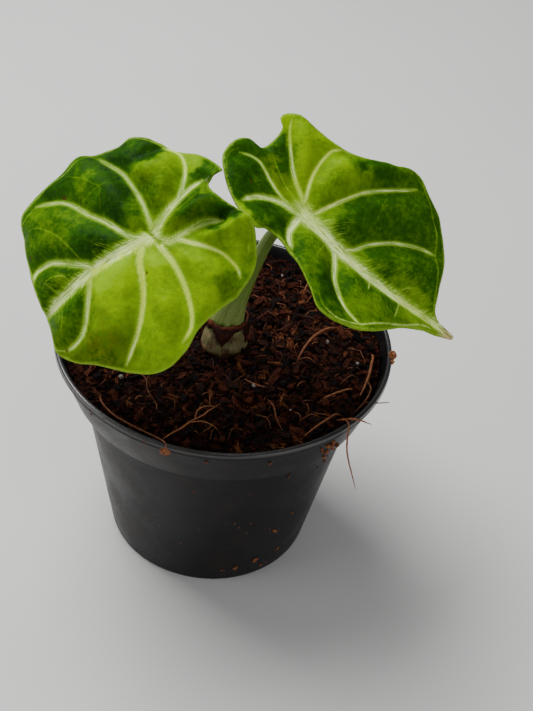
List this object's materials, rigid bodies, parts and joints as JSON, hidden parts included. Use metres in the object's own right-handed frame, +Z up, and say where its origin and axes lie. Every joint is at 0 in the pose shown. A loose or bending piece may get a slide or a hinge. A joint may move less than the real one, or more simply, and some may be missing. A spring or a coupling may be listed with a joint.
{
  "type": "potted variegated ninja alocasia",
  "caption": "Small aroid house plant with shield-shaped variegated leaves on stout stalks, in a round black nursery pot filled with coir mix; stands on its base.",
  "frame": {"origin": "middle of the pot's underside, on the surface it stands on", "axes": "+Z up the pot's axis; -Y is the front that the left leaf faces; +X points to the side where the right leaf's tip hangs"},
  "size_m": [0.1033, 0.085, 0.1214],
  "materials": {
    "pot_plastic": "satin moulded plastic",
    "coir": "damp coir chips and fibre",
    "stem": "pale fibrous stem base",
    "dry_scale": "dry papery scale",
    "stalk": "smooth waxy stalk",
    "leaf_lime": "leathery blade, lime with pale veins",
    "leaf_green": "leathery blade, dark green with pale veins"
  },
  "bodies": {
    "root": {"pot": "pot_plastic", "soil": "coir", "stem_base": "stem", "papery_sheath": "dry_scale", "petiole_left": "stalk", "petiole_right": "stalk", "leaf_left": "leaf_lime", "leaf_right": "leaf_green"}
  },
  "joints": []
}
